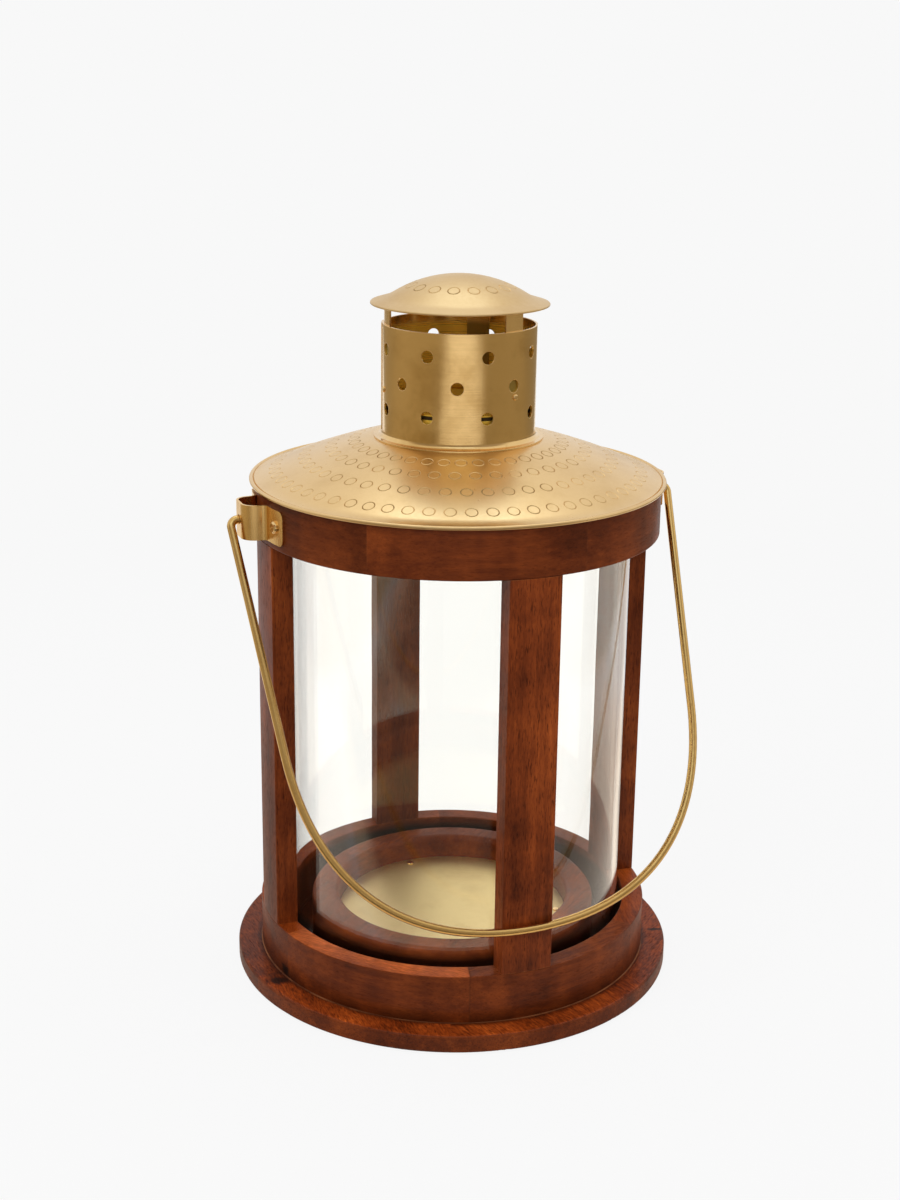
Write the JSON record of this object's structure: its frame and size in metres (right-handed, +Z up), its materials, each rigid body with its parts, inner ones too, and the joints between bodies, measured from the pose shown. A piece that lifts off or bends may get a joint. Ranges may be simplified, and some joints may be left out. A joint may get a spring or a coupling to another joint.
{
  "type": "candle lantern",
  "caption": "Round wooden candle lantern: segmented base and rings on posts, glass cylinder, candle cup, lift-off domed brass lid with vented chimney and cap, and a swinging wire handle.",
  "frame": {"origin": "centre of the base's underside", "axes": "+Z up along the lantern's axis; -Y is the front, the side facing the camera in the picture"},
  "size_m": [0.2084, 0.2008, 0.315],
  "materials": {
    "base_wood": "red-brown stain under satin lacquer",
    "lower_ring_wood": "red-brown stain under satin lacquer",
    "upper_ring_wood": "red-brown stain under satin lacquer",
    "post_wood": "red-brown stain under satin lacquer",
    "cup_wood": "red-brown stain under satin lacquer",
    "dowel_wood": "bare",
    "lid_brass": "satin, punched circles",
    "chimney_brass": "brushed",
    "strap_brass": "satin",
    "bail_brass": "drawn wire, satin",
    "plate_brass": "satin",
    "fixing_brass": "bright",
    "clear_glass": "clear, slightly wavy"
  },
  "bodies": {
    "lantern": {"base_rim_1": "base_wood", "base_rim_2": "base_wood", "base_rim_3": "base_wood", "base_rim_4": "base_wood", "base_rim_5": "base_wood", "base_rim_6": "base_wood", "base_core": "base_wood", "lower_ring_1": "lower_ring_wood", "lower_ring_2": "lower_ring_wood", "lower_ring_3": "lower_ring_wood", "lower_ring_4": "lower_ring_wood", "lower_ring_5": "lower_ring_wood", "lower_ring_6": "lower_ring_wood", "upper_ring_1": "upper_ring_wood", "upper_ring_2": "upper_ring_wood", "upper_ring_3": "upper_ring_wood", "upper_ring_4": "upper_ring_wood", "upper_ring_5": "upper_ring_wood", "upper_ring_6": "upper_ring_wood", "post_1": "post_wood", "post_2": "post_wood", "post_3": "post_wood", "post_4": "post_wood", "candle_cup": "cup_wood", "post_dowels": "dowel_wood", "candle_plate": "plate_brass", "plate_brads": "fixing_brass", "glass_cylinder": "clear_glass", "handle_strap_left": "strap_brass", "handle_strap_right": "strap_brass", "strap_screws": "fixing_brass"},
    "lid": {"lid_dome": "lid_brass", "lid_collar": "lid_brass", "chimney": "chimney_brass", "chimney_cap": "lid_brass", "cap_leg_1": "chimney_brass", "cap_leg_2": "chimney_brass", "cap_leg_3": "chimney_brass", "leg_rivets": "fixing_brass"},
    "handle": {"bail_handle": "bail_brass"}
  },
  "joints": [
    {"name": "lid_lift", "type": "slide", "parent": "lantern", "child": "lid", "axis": [0, 0, 1], "range_m": [0, 0.12]},
    {"name": "handle_swing", "type": "hinge", "parent": "lantern", "child": "handle", "pos_m": [0, 0, 0.2155], "axis": [-0.9323, -0.3616, 0], "range_deg": [0, 302.03]}
  ]
}
